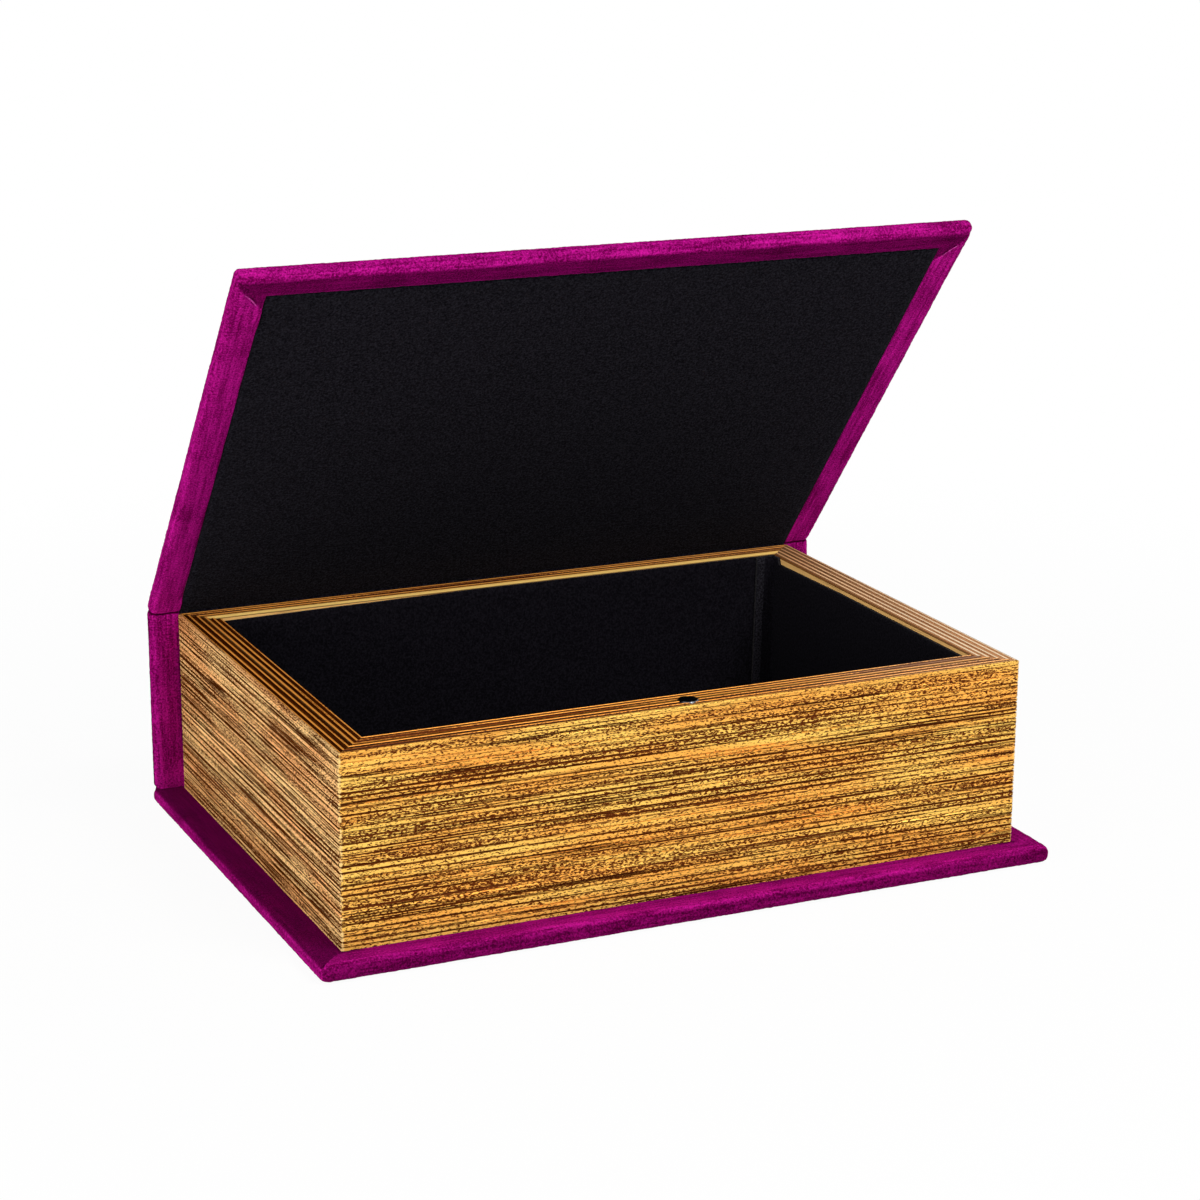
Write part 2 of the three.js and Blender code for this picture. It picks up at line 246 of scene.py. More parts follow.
def velvetFinish(name, look):
    finish = Finish(name)
    place = finish.onCloth("cloth").outputs["Vector"]
    edge = finish.onCloth("edge").outputs["Vector"]
    napAndShade = finish.onCloth("napAndShade").outputs["Fac"]
    tufts = finish.grain((look["tuftsPerMetre"],) * 3, detail=3.0, roughness=0.75, place=place)
    streaks = finish.grain(look["streaks"], detail=3.0, roughness=0.6, place=edge)
    # On a cover's outer face the pile lies one way over the whole cloth, and more evenly
    outer = finish.band(finish.split(place)["z"], *look["outerDepth"])
    even = finish.grain(look["outerStreaks"], detail=2.0, place=place)
    even = finish.band(even, 0.0, 1.0, *look["outerSpread"])
    streaks = finish.mix(outer, streaks, even, "FLOAT")
    brushed = finish.grain((look["brushedPerMetre"],) * 3, detail=3.0, distortion=0.8, place=place)
    grains = {"tufts": tufts, "streaks": streaks, "brushed": brushed}
    shade = finish.weighted(*((grains[key], share) for key, share in look["shares"].items()))
    band = finish.band(shade, look["darkest"], look["lightest"])
    # The nap value mixes a copy of the velvet painted in shade into one painted as lit
    away = finish.mix(band, *look["away"])
    pile = finish.mix(finish.band(napAndShade, 0.0, 1.0), away, finish.mix(band, *look["towards"]))
    # Below zero, along the crease, the painted dark crease colour takes over
    return finish.shade(
        Base_Color=finish.mix(finish.band(napAndShade, *look["creaseShadeNap"]), look["folded"], pile),
        Normal=finish.bump(tufts, look["pileDepth"]),
        Roughness=look["roughness"],
        Specular_IOR_Level=0.0,
        Sheen_Weight=look["sheen"],
        Sheen_Roughness=look["sheenRoughness"],
        Sheen_Tint=look["sheenTint"],
    )


# Felt

feltLook = {
    "dark": paint(3, 2, 6),
    "light": paint(36, 34, 41),
    "fibresPerMetre": 1300,
    "fibresShow": (0.36, 0.68),
    "napDepth": 0.0003,
    "roughness": 0.95,
    "sheen": 0.02,
    "sheenRoughness": 0.5,
}
feltCutLook = {**feltLook, "dark": paint(24, 23, 25), "light": paint(58, 56, 58)}
feltBrushedLook = {**feltLook, "dark": paint(12, 11, 15), "light": paint(46, 44, 50)}
feltSmoothLook = {**feltLook, "dark": paint(8, 7, 11), "light": paint(27, 25, 31)}


def feltFinish(name, look):
    finish = Finish(name)
    fibres = finish.grain((look["fibresPerMetre"],) * 3, detail=4.0, roughness=0.75)
    return finish.shade(
        Base_Color=finish.mix(finish.band(fibres, *look["fibresShow"]), look["dark"], look["light"]),
        Normal=finish.bump(fibres, look["napDepth"]),
        Roughness=look["roughness"],
        Specular_IOR_Level=0.0,
        Sheen_Weight=look["sheen"],
        Sheen_Roughness=look["sheenRoughness"],
    )


# Gilt page edges: gold paint over brown, rubbed away along the lines of the pages

giltLook = {
    # Colours and shine: x for the front and back walls, y for the two at the sides, whose paler gold is
    # painted reflection of the white surroundings
    "gold": {"x": paint(255, 204, 98), "y": paint(255, 208, 136)},
    "oldGold": {"x": paint(250, 176, 78), "y": paint(250, 182, 112)},
    "wash": paint(88, 36, 8),  # the brown that shows between the lines
    "line": paint(60, 24, 4),
    "groove": paint(94, 42, 10),
    "rubbed": paint(255, 216, 140),  # upright corners
    "valley": paint(52, 18, 0),
    "valleyGlow": paint(130, 62, 12),
    # painted reflection of the white surroundings in the rim's valleys
    "valleyReflection": paint(206, 150, 104),
    "worn": paint(120, 52, 8),
    "ridge": paint(240, 158, 66),
    # and on its ridges
    "ridgeReflection": paint(255, 230, 192),
    # a painted highlight along the inner edge of the back rail
    "backHighlight": paint(255, 216, 126),
    "rightEdge": paint(112, 60, 12),
    # painted light on the inner faces of the walls, which are the same gilt
    "inner": paint(255, 200, 122),
    "metal": 0.22,
    "gloss": {"x": 0.02, "y": 0.0},
    "roughGold": 0.36,
    "roughWash": 0.46,
    "roughRim": 0.3,
    "lineDepth": 0.00014,
    "speckDepth": 0.00008,
    "bevelLean": 0.8,
    "browShade": 0.3,  # where the face turns over to the rim
    "glowShade": 0.5,
    "backHighlightShare": 0.92,
    "rightEdgeShade": 0.9,
    "rubbedBare": 0.85,  # how much of the brown is gone from a rubbed corner
    # Where each mark begins and where it is full: how steep the face is, how far in from
    # the outer face or the corner, how far below the top, and how far from the well
    "upward": (0.30, 0.50),
    "sloping": (0.2, 0.4),
    "rimInset": (0.68 * mm, 0.84 * mm),
    "rubbedInset": (1.1 * mm, 0.44 * mm),
    "ridgeDepth": {"x": (0.15 * mm, 0.045 * mm), "y": (0.1 * mm, 0.03 * mm)},
    "grooveDepth": (0.72 * mm, 0.8 * mm),
    "browDepth": (1.28 * mm, 0.48 * mm),
    "innerFromWell": (0.4 * mm, 0.1 * mm),
    "backLineOuter": (4.5 * mm, 3.8 * mm),
    "backLineInner": (1.4 * mm, 2.2 * mm),
    "rightLineFromWell": (1.6 * mm, 1.2 * mm),
    "rightLineDepth": (0.5 * mm, 0.3 * mm),
    "farRail": (0.8, 0.85),  # the back or right-hand wall, in half blocks from the middle
    "reflectionShare": {"x": (0.16, 0.05), "y": (0.95, 0.35)},  # painted reflection on the rim, growing to the right: its share at the front and at the back
    "grooveFade": (7 * mm, 5 * mm),  # the page grooves show least just under the rim
    "grooveLeast": {"x": 0.35, "y": 0.8},
    # Grains, in marks per metre along the wall and across it, and how much of each shows
    "dots": (600, 600),
    "dotsShow": (0.40, 0.55),
    "lines": (12, 1500),
    "linesShow": {"x": (0.685, 0.725), "y": (0.645, 0.68)},
    "linesMore": (0.004, 0.012),  # at the top and at the bottom
    "fades": (45, 420),
    "fadesShare": 0.18,
    "specks": (950, 2400),
    "specksShow": (0.49, 0.555),
    "bands": (9, 760),
    "patches": (90, 160),
    "bandsShare": 0.9,
    "patchesShare": 0.2,
    "thick": (0.425, 0.685),
    "thickAdds": (-0.065, 0.06),
    "breaks": (500, 900),
    "breaksShare": 0.5,
    "thins": (12, 500),
    "grooveShows": (0.60, 0.80),
    "leaf": (20, 140),
    "leafShows": (0.35, 0.65),
    "glowSpecks": 0.5,
    "glowShows": (0.76, 0.88),
    "wear": (7, 330),
    "wearShare": 0.7,
    "wearSpecks": 0.3,
    "wearShows": (0.41, 0.47),
}
blockLow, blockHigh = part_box("front_wall")[0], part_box("back_wall")[1]
blockLow.x, blockHigh.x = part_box("left_wall")[0].x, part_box("right_wall")[1].x
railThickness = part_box("left_wall")[1].x - blockLow.x


def giltPlaces(finish, look, along):
    # How far a spot lies on the rim, on a ridge, in a groove and so on, each from 0 to 1
    spot = finish.split(finish.place)
    facing = finish.split(finish.add("ShaderNodeNewGeometry").outputs["True Normal"])
    across, length = ("y", "x") if along == "x" else ("x", "y")

    def inFrom(axis):
        middle = (getattr(blockLow, axis) + getattr(blockHigh, axis)) / 2
        half = (getattr(blockHigh, axis) - getattr(blockLow, axis)) / 2
        off = finish.maths("ABSOLUTE", finish.maths("SUBTRACT", spot[axis], middle))
        return finish.maths("SUBTRACT", half, off)

    inset = inFrom(across)

    def fromWell(pair):
        return finish.band(inset, *(railThickness - far for far in pair))

    def belowTop(pair, *ends):
        return finish.band(spot["z"], *(blockHigh.z - far for far in pair), *ends)

    def onFarRail(axis):
        return finish.band(spot[axis], *(share * getattr(blockHigh, axis) for share in look["farRail"]))

    upward = finish.band(facing["z"], *look["upward"])
    rim = finish.times(upward, finish.band(inset, *look["rimInset"]))
    sloping = finish.band(finish.maths("ABSOLUTE", facing["z"]), *look["sloping"])
    grooveFade = belowTop(look["grooveFade"], 1.0, look["grooveLeast"][along])
    toRight = finish.band(spot["x"], 0.0, blockHigh.x)
    toFront = finish.band(spot["y"], blockLow.y, blockHigh.y, *look["reflectionShare"][along])
    return {
        "rim": rim,
        "ridge": finish.times(rim, belowTop(look["ridgeDepth"][along])),
        # the inner faces of the walls, painted lighter as if lit
        "inner": finish.times(fromWell(look["innerFromWell"]), finish.less(upward)),
        "groove": finish.times(sloping, belowTop(look["grooveDepth"]), grooveFade),
        "rubbed": finish.band(inFrom(length), *look["rubbedInset"]),
        "brow": belowTop(look["browDepth"]),
        # painted reflection of the white surroundings on the rim, towards the right
        "pale": finish.times(toRight, toFront),
        # A painted highlight near the inner edge of the back rail
        "backHighlightLine": finish.times(
            fromWell(look["backLineOuter"]), onFarRail("y"),
            fromWell(look["backLineInner"]), rim, float(along == "x"),
        ),
        # and a dark one along the inner edge of the right-hand rail
        "rightLine": finish.times(
            fromWell(look["rightLineFromWell"]), onFarRail("x"),
            belowTop(look["rightLineDepth"]), look["rightEdgeShade"] * (along == "y"),
        ),
    }


def bevelNormal(finish, line, lean):
    # The painted highlight on the back rail also has its normal leaned towards the front, like a bevel
    leaning = finish.fill(finish.add("ShaderNodeCombineXYZ"), Y=finish.times(line, -lean))
    added = finish.add("ShaderNodeVectorMath", operation="ADD")
    finish.link(finish.add("ShaderNodeNewGeometry").outputs["Normal"], added.inputs[0])
    finish.link(leaning.outputs["Vector"], added.inputs[1])
    unit = finish.add("ShaderNodeVectorMath", operation="NORMALIZE")
    finish.link(added.outputs["Vector"], unit.inputs[0])
    return unit.outputs["Vector"]


def giltFinish(name, look, along):
    finish = Finish(name)
    on = giltPlaces(finish, look, along)

    def grain(mark, **settings):  # across is both up the wall and in over the rim
        lengthwise, across = look[mark]
        scale = (lengthwise, across, across) if along == "x" else (across, lengthwise, across)
        return finish.grain(scale, **settings)

    rubbed = finish.times(on["rubbed"], finish.band(grain("dots", detail=1.0), *look["dotsShow"]))
    unrubbed = finish.less(finish.times(rubbed, look["rubbedBare"]))
    # Long thin lines, each fading in and out
    fine = grain("lines", detail=3.0, roughness=0.6, distortion=0.3)
    lines = finish.plus(fine, finish.times(grain("fades"), look["fadesShare"]))
    more = finish.band(finish.split(finish.place)["z"], blockHigh.z, blockLow.z, *look["linesMore"])
    lines = finish.band(finish.plus(lines, more), *look["linesShow"][along])
    lines = finish.times(lines, unrubbed)
    # Speckle where the brown shows through, thick in some bands and thin in others
    specks = grain("specks", roughness=0.7)
    bands = grain("bands", detail=3.0, roughness=0.6)
    thick = finish.weighted((bands, look["bandsShare"]), (grain("patches"), look["patchesShare"]))
    thick = finish.band(thick, *look["thick"], *look["thickAdds"])
    speckled = finish.band(finish.plus(specks, thick), *look["specksShow"])
    speckled = finish.times(speckled, unrubbed)
    # The brown in a page groove breaks up and thins out along it
    breaks = grain("breaks", detail=3.0, roughness=0.7)
    filled = finish.plus(finish.times(breaks, look["breaksShare"]), grain("thins"))
    filled = finish.times(on["groove"], finish.band(filled, *look["grooveShows"]))

    leaf = finish.band(grain("leaf", detail=3.0), *look["leafShows"])
    gold = finish.mix(leaf, look["gold"][along], look["oldGold"][along])
    gold = finish.mix(rubbed, gold, look["rubbed"])
    face = finish.mix(speckled, gold, look["wash"])
    face = finish.mix(lines, face, look["line"])
    face = finish.mix(filled, face, look["groove"])
    face = finish.mix(finish.times(on["brow"], look["browShade"]), face, look["wash"])
    # The rim is brown in its wide grooves and gold on the thin ridges
    glow = finish.plus(fine, finish.times(specks, look["glowSpecks"]))
    glow = finish.times(finish.band(glow, *look["glowShows"]), look["glowShade"])
    valley = finish.mix(glow, look["valley"], look["valleyGlow"])
    # Towards the right the rim is painted with the reflection of the white surroundings
    valley = finish.mix(on["pale"], valley, look["valleyReflection"])
    wear = grain("wear", detail=3.0)
    wear = finish.weighted((wear, look["wearShare"]), (specks, look["wearSpecks"]))
    unworn = finish.band(wear, *look["wearShows"])
    top = finish.mix(unworn, look["worn"], look["ridge"])
    top = finish.mix(on["pale"], top, look["ridgeReflection"])
    rim = finish.mix(on["ridge"], valley, top)
    # The painted highlight along the back rail's inner edge
    rim = finish.mix(finish.times(on["backHighlightLine"], look["backHighlightShare"]), rim, look["backHighlight"])
    colour = finish.mix(on["rim"], face, rim)
    # Painted light on the inner faces of the walls
    colour = finish.mix(on["inner"], colour, look["inner"])
    colour = finish.mix(on["rightLine"], colour, look["rightEdge"])

    brown = finish.most(lines, filled, speckled)
    rough = finish.band(brown, 0.0, 1.0, look["roughGold"], look["roughWash"])
    rough = finish.maths("MINIMUM", rough, finish.band(on["rim"], 0.0, 1.0, 1.0, look["roughRim"]))
    offRim = finish.less(on["rim"])
    lowered = finish.times(offRim, finish.less(lines))
    bevelled = bevelNormal(finish, on["backHighlightLine"], look["bevelLean"])
    pitted = finish.bump(finish.times(offRim, specks), look["speckDepth"], Normal=bevelled)
    # Only the gold shines like metal, not the brown
    onRidge = finish.times(on["ridge"], unworn)
    shiny = finish.mix(on["rim"], finish.less(brown), onRidge, "FLOAT")
    matt = finish.most(on["inner"], on["rightLine"], on["backHighlightLine"])
    return finish.shade(
        Base_Color=colour,
        Roughness=rough,
        Normal=finish.bump(lowered, look["lineDepth"], Normal=pitted),
        Metallic=finish.times(shiny, finish.less(matt), look["metal"]),
        Specular_IOR_Level=look["gloss"][along],
    )


# Small and hidden finishes

boardLook = {
    "dark": paint(142, 128, 104),
    "light": paint(172, 158, 132),
    "fibres": (260, 260, 1400),
    "fibresShow": (0.35, 0.65),
    "fibreDepth": 0.0002,
    "roughness": 0.9,
}
nickelLook = {
    "dark": paint(70, 72, 76),
    "light": paint(120, 122, 126),
    "rubsPerMetre": 1500,
    "rubsShow": (0.3, 0.7),
    "roughness": (0.12, 0.2),
}


def boardFinish(name, look):
    finish = Finish(name)
    fibres = finish.grain(look["fibres"], detail=4.0)
    return finish.shade(
        Base_Color=finish.mix(finish.band(fibres, *look["fibresShow"]), look["dark"], look["light"]),
        Normal=finish.bump(fibres, look["fibreDepth"]),
        Roughness=look["roughness"],
    )


def nickelFinish(name, look):
    finish = Finish(name)
    rubs = finish.grain((look["rubsPerMetre"],) * 3, detail=2.0)
    return finish.shade(
        Base_Color=finish.mix(rubs, look["dark"], look["light"]),
        Roughness=finish.band(rubs, *look["rubsShow"], *look["roughness"]),
        Metallic=1.0,
    )


velvet = velvetFinish("magenta velvet", velvetLook)
velvetCut = velvetFinish("magenta velvet cut edge", cutLook)
felt = feltFinish("black felt", feltLook)
feltCut = feltFinish("black felt cut edge", feltCutLook)
feltBrushed = feltFinish("black felt brushed", feltBrushedLook)
feltSmooth = feltFinish("black felt smooth", feltSmoothLook)
giltAcross = giltFinish("gilt across", giltLook, "x")
giltAlong = giltFinish("gilt along", giltLook, "y")
greyboard = boardFinish("greyboard", boardLook)
nickel = nickelFinish("nickel plate", nickelLook)
print("finishes made")


for nodeNames, material, slot in (
    (("front_wall", "back_wall"), giltAcross, "gilt_wood"),
    (("left_wall", "right_wall"), giltAlong, "gilt_wood"),
    (("base_board", "spine_board", "lid_board", "tray_floor"), greyboard, "board"),
    (("rim_magnet", "lid_keeper"), nickel, "magnet_steel"),
):
    for node in map(nodes.get, nodeNames):
        node.data.materials.clear()
        node.data.materials.append(material)


# The case. A cover is drawn flat as (across, along, depth), with depth 0 on its inner face,
# and then folded to its place.

clothLook = {
    "edgeRadius": 2.8 * mm,
    "baseCornerRadius": 3.2 * mm,
    "lidCornerRadius": 1.8 * mm,
    "spineThickness": 5.4 * mm,
    "thicknessTurns": 4 * mm,  # how far from the hinge the spine's gives way to the lid's
    "footPinch": 0.8 * mm,
    "footReach": 12 * mm,
    "lidMargin": 8.7 * mm,
    "baseTurnIn": 18 * mm,
    "mitreReach": 12 * mm,
    "arcSteps": 7,
    "spacing": 0.6 * mm,
    "creaseSpacing": 0.25 * mm,
    "block": 6,  # how many fine cells make one coarse one in the middle of a cover
    "tuftHeight": 0.22 * mm,
    "tufts": ((0.7, 750), (0.3, 110)),  # the share of each size, and how many to a metre
    "creaseReach": 1.5 * mm,
    "creasePinch": 0.55 * mm,
    "creaseWidth": 0.5 * mm,
    "creaseEndWidth": 0.6 * mm,
    "creaseEndReach": 3 * mm,
    "creaseFine": 4.5 * mm,
    "cutEdge": 0.9 * mm,
    "lip": 0.15 * mm,
    "liningGap": 0.3 * mm,
    "caseCut": (0.302, 0.275),  # the cloth before it was turned in: width and length
    "baseCut": (0.308, 0.229),
}
seamLook = {  # the lid's corner seams, where the side turn-in laps over the front one
    "down": 3.1 * mm,  # the outer end, below the corner
    "past": 7.2 * mm,  # the inner end, below the lining's corner
    "finePast": (5 * mm, 11.2 * mm),  # the fine part of the net, inward and down from that corner
    "step": 0.35 * mm,
    "starts": (-2 * mm, 1 * mm),
    "halfWidth": 0.3 * mm,
    "settles": 6 * mm,
    "grooveAt": 0.5 * mm,
    "grooveWidth": 0.45 * mm,
    "grooveShare": 0.8,
    "cutEdgeShows": (0.33, 0.78),  # as shares of the seam
    "cutEdgeHalf": 0.2 * mm,
    "cutEdgeTop": 0.4,  # the share of its width that lies highest
    "cutEdgeBow": 0.35 * mm,
    "cutEdgeHeight": (0.35, 0.75),  # in steps: its sides, and the rise from there to its middle
    "cutEdgeSteps": 20,
    "cutEdgeTip": 0.04,  # the share of the line where it is thinnest
}
napAndShadeLook = {  # how far each part is darkened by painted shade, standing for pile turned away from the light and for shade that falls on it
    "frontStrip": 0.7,
    "stripSeam": 0.6 * mm,
    "stripEdge": (1.4 * mm, 2.6 * mm),
    "insideDepth": (0.5 * mm, 1.2 * mm),
    "outside": 0.35,
    "outsideDepth": 4 * mm,
    "spine": 0.22,
    # painted shade: a dark line along the hinge's crease
    "crease": 1.6,
    "creaseWidth": 0.38 * mm,
    # painted shade on the side ledges, most on the left one for the block's shadow
    "sideLedge": 0.95,
    "rightLedge": 0.3,  # the share of it on the right-hand side
    "sideEdge": 0.15,
    # less painted shade on the front ledge, and more on its rounded edge
    "frontLedge": 0.3,
    "frontEdge": 0.62,
    "ledgeDepth": (0.6 * mm, 1.6 * mm),
    "mitreWidth": 0.5 * mm,
    "foot": 1.3,  # painted shadow at the foot of the walls
    "footReach": 0.9 * mm,
    "ridgeShine": 0.3,  # a painted highlight along the front ledge, where it starts to turn down
    "ridgeAt": 2.6 * mm,
    "ridgeWidth": 1.2 * mm,
}


windowHalf = liningHalf + clothLook["liningGap"]
windowEnd = lidLength - clothLook["lidMargin"] + clothLook["liningGap"]
windowFoot = -spineLength + clothLook["lidMargin"]


def evenLines(low, high, spacing):
    return list(np.linspace(low, high, max(2, round((high - low) / spacing) + 1)))


def coverLines(low, high, stops, look):  # close together round the edges and at the crease
    radius, steps = look["edgeRadius"], look["arcSteps"]
    arc = [radius * (1 - math.cos(math.pi / 2 * k / steps)) for k in range(steps)]
    lines = [low + a for a in arc]
    stops = [low + radius, *stops, high - radius]
    for start, end in zip(stops, stops[1:]):
        atCrease = start < 0 < end and end - start < 3 * look["creaseFine"]
        lines += evenLines(start, end, look["creaseSpacing"] if atCrease else look["spacing"])[:-1]
    return np.array(lines + [stops[-1]] + [high - a for a in reversed(arc)])


def giveClothPlaces(piece, flat, edge, napAndShade):  # read by the velvet finish
    for name, values in (("cloth", flat), ("edge", edge)):
        layer = piece.data.attributes.new(name, "FLOAT_VECTOR", "POINT")
        layer.data.foreach_set("vector", np.asarray(values, dtype=np.float32).ravel())
    layer = piece.data.attributes.new("napAndShade", "FLOAT", "POINT")
    layer.data.foreach_set("value", np.asarray(napAndShade, dtype=np.float32))


def edgePlaces(flat, low, high):
    # Along the nearest edge, in from it, and through the cover
    inX = np.minimum(flat[:, 0] - low[0], high[0] - flat[:, 0])
    inY = np.minimum(flat[:, 1] - low[1], high[1] - flat[:, 1])
    along = np.where(inX < inY, flat[:, 1], flat[:, 0])
    return np.stack([along, np.minimum(inX, inY), flat[:, 2]], axis=1)


class CoverNet:
    # The cloth on one cover, laid flat: outer face, round edges, inner face with a window
    def __init__(self, xs, ys, window, look, cornerRadius, depthAt, isFine):
        self.xs, self.ys, self.window, self.look = xs, ys, window, look
        self.cornerRadius = cornerRadius
        self.depthAt, self.isFine = depthAt, isFine
        self.spots, self.faces, self.index = [], [], {}
        self.lay("out")
        self.lay("in")
        self.joinRim()

    def corner(self, side, i, j):
        key = (side, i, j)
        if key not in self.index:
            xs, ys, radius = self.xs, self.ys, self.cornerRadius
            x, y = xs[i], ys[j]
            inX, inY = min(x - xs[0], xs[-1] - x), min(y - ys[0], ys[-1] - y)
            if inX < radius and inY < radius:  # draws the square corner in to an arc
                a, b = radius - inX, radius - inY
                draw = 1 - max(a, b) / math.hypot(a, b)
                x -= math.copysign(a * draw, x - (xs[0] + xs[-1]) / 2)
                y -= math.copysign(b * draw, y - (ys[0] + ys[-1]) / 2)
            self.index[key] = len(self.spots)
            insets = (inX, ys[j] - ys[0], ys[-1] - ys[j])
            self.spots.append((x, y, self.depthAt(x, y, side, insets)))
        return self.index[key]

    def lay(self, side):
        block, edge = self.look["block"], self.look["arcSteps"] + 2
        lastX, lastY = len(self.xs) - 1, len(self.ys) - 1
        whole = [
            (i, j)
            for i in range(edge, lastX - edge - block + 1, block)
            for j in range(edge, lastY - edge - block + 1, block)
            if self.inOnePiece(side, i, j, block)
        ]
        taken = {(i + a, j + b) for i, j in whole for a in range(block) for b in range(block)}
        for i in range(lastX):
            for j in range(lastY):
                if (i, j) not in taken and not self.cutAway(side, i, j, i + 1, j + 1):
                    self.addFace(side, [self.corner(side, *at) for at in self.ring(i, j, 1)])
        kept = [(i, j) for i, j in whole if not self.cutAway(side, i, j, i + block, j + block)]
        for i, j in kept:
            for at in self.ring(i, j, block)[::block]:
                self.corner(side, *at)
        for i, j in kept:
            ring = [self.index.get((side, *at)) for at in self.ring(i, j, block)]
            self.addFace(side, [spot for spot in ring if spot is not None])

    def ring(self, i, j, step):
        return (
            [(i + k, j) for k in range(step)] + [(i + step, j + k) for k in range(step)]
            + [(i + step - k, j + step) for k in range(step)] + [(i, j + step - k) for k in range(step)]
        )

    def cutAway(self, side, i, j, i2, j2):
        if side == "out":
            return False
        x, y = (self.xs[i] + self.xs[i2]) / 2, (self.ys[j] + self.ys[j2]) / 2
        left, right, low, high = self.window
        return left < x < right and low < y < high

    def inOnePiece(self, side, i, j, block):
        ends = [(a, b) for a in (i, i + block - 1) for b in (j, j + block - 1)]
        if any(self.isFine(side, abs(self.xs[a]), self.ys[b]) for a, b in ends):
            return False
        return len({self.cutAway(side, a, b, a + 1, b + 1) for a, b in ends}) == 1

    def addFace(self, side, ring):
        self.faces.append(ring if side == "in" else ring[::-1])

    def joinRim(self):
        lastX, lastY = len(self.xs) - 1, len(self.ys) - 1
        rim = [(i, 0) for i in range(lastX)] + [(lastX, j) for j in range(lastY)]
        rim += [(i, lastY) for i in range(lastX, 0, -1)] + [(0, j) for j in range(lastY, 0, -1)]
        for first, second in zip(rim, rim[1:] + rim[:1]):
            self.faces.append([
                self.corner("in", *second), self.corner("in", *first),
                self.corner("out", *first), self.corner("out", *second),
            ])


def edgeFall(inset, radius):  # how far a round edge drops below the face
    return radius - math.sqrt(max(radius ** 2 - max(radius - inset, 0.0) ** 2, 0.0))


def folded(flat, creaseReach):
    # Folds flat cloth over the hinge line: y below 0 is the spine, above 0 the lid
    x, along, depth = flat[:, 0], flat[:, 1], flat[:, 2]
    spineWay = np.array([0.0, -1.0])
    lidWay = np.array([-math.cos(lidOpening), math.sin(lidOpening)])
    share = np.clip((along + creaseReach) / (2 * creaseReach), 0, 1)[:, None]
    bend = creaseReach * ((1 - share) ** 2 * spineWay + share ** 2 * lidWay)
    tangent = -(1 - share) * spineWay + share * lidWay
    tangent /= np.linalg.norm(tangent, axis=1)[:, None]
    line = bend + np.where(along > creaseReach, along - creaseReach, 0)[:, None] * lidWay
    line += np.where(along < -creaseReach, -along - creaseReach, 0)[:, None] * spineWay
    outward = np.stack([tangent[:, 1], -tangent[:, 0]], axis=1)
    place = line + outward * depth[:, None]
    return np.stack([x, crease.y + place[:, 0], crease.z + place[:, 1]], axis=1)


def raiseTufts(piece, look, seed):
    # Short pile isn't smooth: the surface moves a little at the size of its tufts
    mesh = piece.data
    points = np.zeros(3 * len(mesh.vertices))
    normals = np.zeros(3 * len(mesh.vertices))
    mesh.vertices.foreach_get("co", points)
    mesh.vertices.foreach_get("normal", normals)
    points, normals = points.reshape(-1, 3), normals.reshape(-1, 3)
    lift = sum(
        share * noiseAt(points, perMetre, seed + k)
        for k, (share, perMetre) in enumerate(look["tufts"])
    )
    moved = points + normals * (look["tuftHeight"] * lift)[:, None]
    mesh.vertices.foreach_set("co", moved.ravel())
    mesh.update()


def seamLine(look):  # its outer end, the way it runs inward, and its length
    outer = np.array([halfWidth, lidLength - look["down"]])
    inner = np.array([liningHalf, lidLength - clothLook["lidMargin"] - look["past"]])
    length = np.linalg.norm(inner - outer)
    return outer, (inner - outer) / length, length


def lapHeight(x, y, look):  # above 0 on the side turn-in, which lies on top
    outer, way, _ = seamLine(look)
    reach = np.array([abs(x), y]) - outer
    run, off = reach @ way, reach[1] * way[0] - reach[0] * way[1]
    side = smoothStep(off, -look["halfWidth"], look["halfWidth"])
    side *= math.exp(-max(off, 0) / look["settles"])
    groove = look["grooveShare"] * peak(off + look["grooveAt"], look["grooveWidth"])
    return smoothStep(run, *look["starts"]) * look["step"] * (side - groove)


def jacketDepth(x, y, side, insets):
    look = clothLook
    inX, _, fromFree = insets  # the foot stands on the base, so its edge isn't round
    fall = edgeFall(min(inX, fromFree), look["edgeRadius"])
    onLid = smoothStep(y, -look["thicknessTurns"], look["thicknessTurns"])
    thick = look["spineThickness"] + (coverThickness - look["spineThickness"]) * onLid
    thick -= look["footPinch"] * smoothStep(-y, spineLength - look["footReach"], spineLength)
    if side == "out":
        return thick - fall
    pinch = look["creasePinch"] * peak(y, look["creaseWidth"])
    lap = lapHeight(x, y, seamLook) if y > lidLength / 2 else 0.0
    tucked = max(abs(x) - windowHalf, y - windowEnd, windowFoot - y) < -look["lip"] / 2
    return fall + pinch - lap + (look["cutEdge"] if tucked else 0.0)


def fineOnJacket(side, x, y):  # the hinge, and the seams at the lid's free corners
    inward, down = seamLook["finePast"]
    atCorner = x > windowHalf - inward and y > windowEnd - down
    return abs(y) < clothLook["creaseFine"] + mm or (side == "in" and atCorner)


